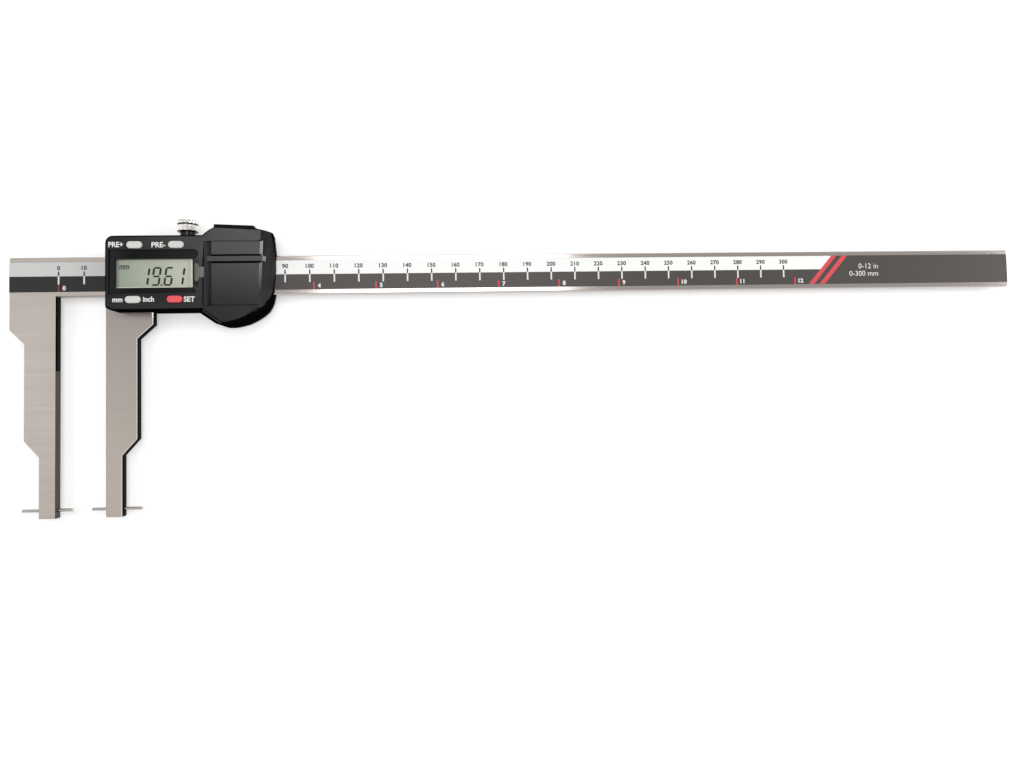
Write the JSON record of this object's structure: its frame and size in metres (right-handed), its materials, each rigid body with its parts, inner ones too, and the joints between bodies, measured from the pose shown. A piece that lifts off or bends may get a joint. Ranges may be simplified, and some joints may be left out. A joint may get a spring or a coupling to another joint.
{
  "type": "digital groove caliper",
  "caption": "Long-jaw digital caliper with cross pins at the jaw tips for measuring inner grooves; slider with display, push buttons and lock screw on a graduated beam.",
  "frame": {"origin": "middle of the whole part's footprint, on the ground plane that the slider's back plate rests on", "axes": "+X along the beam away from the jaws, +Y away from the jaw tips, +Z out of the display"},
  "size_m": [0.419, 0.1212, 0.0162],
  "materials": {
    "steel": "fine ground stainless steel",
    "pin_steel": "polished hardened steel",
    "screw_steel": "plain machine screws",
    "knurled_steel": "satin chrome with a diamond knurl",
    "gib_bronze": "plain bronze strip",
    "board": "glass fibre circuit board",
    "scale_print": "printed film, white and dark grey fields with marks",
    "housing_black": "fine spark-eroded moulded ABS",
    "cover_black": "fine spark-eroded moulded ABS",
    "connector_black": "moulded plastic",
    "bezel_gloss": "polished black plastic",
    "display_glass": "liquid crystal cell behind a satin polariser",
    "holder_white": "moulded plastic",
    "zebra_rubber": "layered conductive rubber",
    "pad_rubber": "silicone rubber",
    "button_grey": "moulded plastic",
    "button_red": "moulded plastic",
    "catch_grey": "moulded plastic",
    "battery_steel": "nickel plated can",
    "contact_metal": "nickel plated spring strip"
  },
  "bodies": {
    "beam_body": {"beam": "steel", "circuit_strip": "board", "scale_film": "scale_print", "fixed_pin": "pin_steel", "end_stop": "steel", "end_stop_screws": "screw_steel"},
    "slider": {"slider_frame": "steel", "moving_pin": "pin_steel", "gib": "gib_bronze", "gib_screws": "screw_steel", "housing": "housing_black", "rear_cover": "housing_black", "rear_cover_screws": "screw_steel", "housing_screws": "screw_steel", "display_bezel": "bezel_gloss", "display_cell": "display_glass", "cell_holder": "holder_white", "zebra_strips": "zebra_rubber", "main_board": "board", "reading_head": "board", "controller_chip": "connector_black", "key_pad_top": "pad_rubber", "key_pad_low": "pad_rubber", "battery": "battery_steel", "battery_contact_plus": "contact_metal", "battery_contact_minus": "contact_metal", "port_connector": "connector_black"},
    "lock_knob": {"lock_screw": "knurled_steel"},
    "preset_up_key": {"preset_up_button": "button_grey"},
    "preset_down_key": {"preset_down_button": "button_grey"},
    "unit_key": {"unit_button": "button_grey"},
    "set_key": {"set_button": "button_red"},
    "battery_door": {"battery_cover": "cover_black"},
    "catch": {"cover_catch": "catch_grey"},
    "port_cap": {"port_lid": "cover_black"}
  },
  "joints": [
    {"name": "slider_slide", "type": "slide", "parent": "beam_body", "child": "slider", "axis": [1, 0, 0], "range_m": [-0.0075, 0.2839]},
    {"name": "lock_turn", "type": "hinge", "parent": "slider", "child": "lock_knob", "pos_m": [-0.13999, 0.0544, 0.00515], "axis": [0, 1, 0], "range_deg": [-180, 90]},
    {"name": "preset_up_press", "type": "slide", "parent": "slider", "child": "preset_up_key", "axis": [0, 0, -1], "range_m": [0, 0.0005], "stiffness_N_per_m": 1500},
    {"name": "preset_down_press", "type": "slide", "parent": "slider", "child": "preset_down_key", "axis": [0, 0, -1], "range_m": [0, 0.0005], "stiffness_N_per_m": 1500},
    {"name": "unit_press", "type": "slide", "parent": "slider", "child": "unit_key", "axis": [0, 0, -1], "range_m": [0, 0.0005], "stiffness_N_per_m": 1500},
    {"name": "set_press", "type": "slide", "parent": "slider", "child": "set_key", "axis": [0, 0, -1], "range_m": [0, 0.0005], "stiffness_N_per_m": 1500},
    {"name": "battery_door_slide", "type": "slide", "parent": "slider", "child": "battery_door", "axis": [1, 0, 0], "range_m": [0, 0.021]},
    {"name": "catch_press", "type": "slide", "parent": "slider", "child": "catch", "axis": [0, 0, -1], "range_m": [0, 0.0006], "stiffness_N_per_m": 1500},
    {"name": "port_cap_pull", "type": "slide", "parent": "slider", "child": "port_cap", "axis": [0.0426, 0.9991, 0], "range_m": [0, 0.004]}
  ]
}
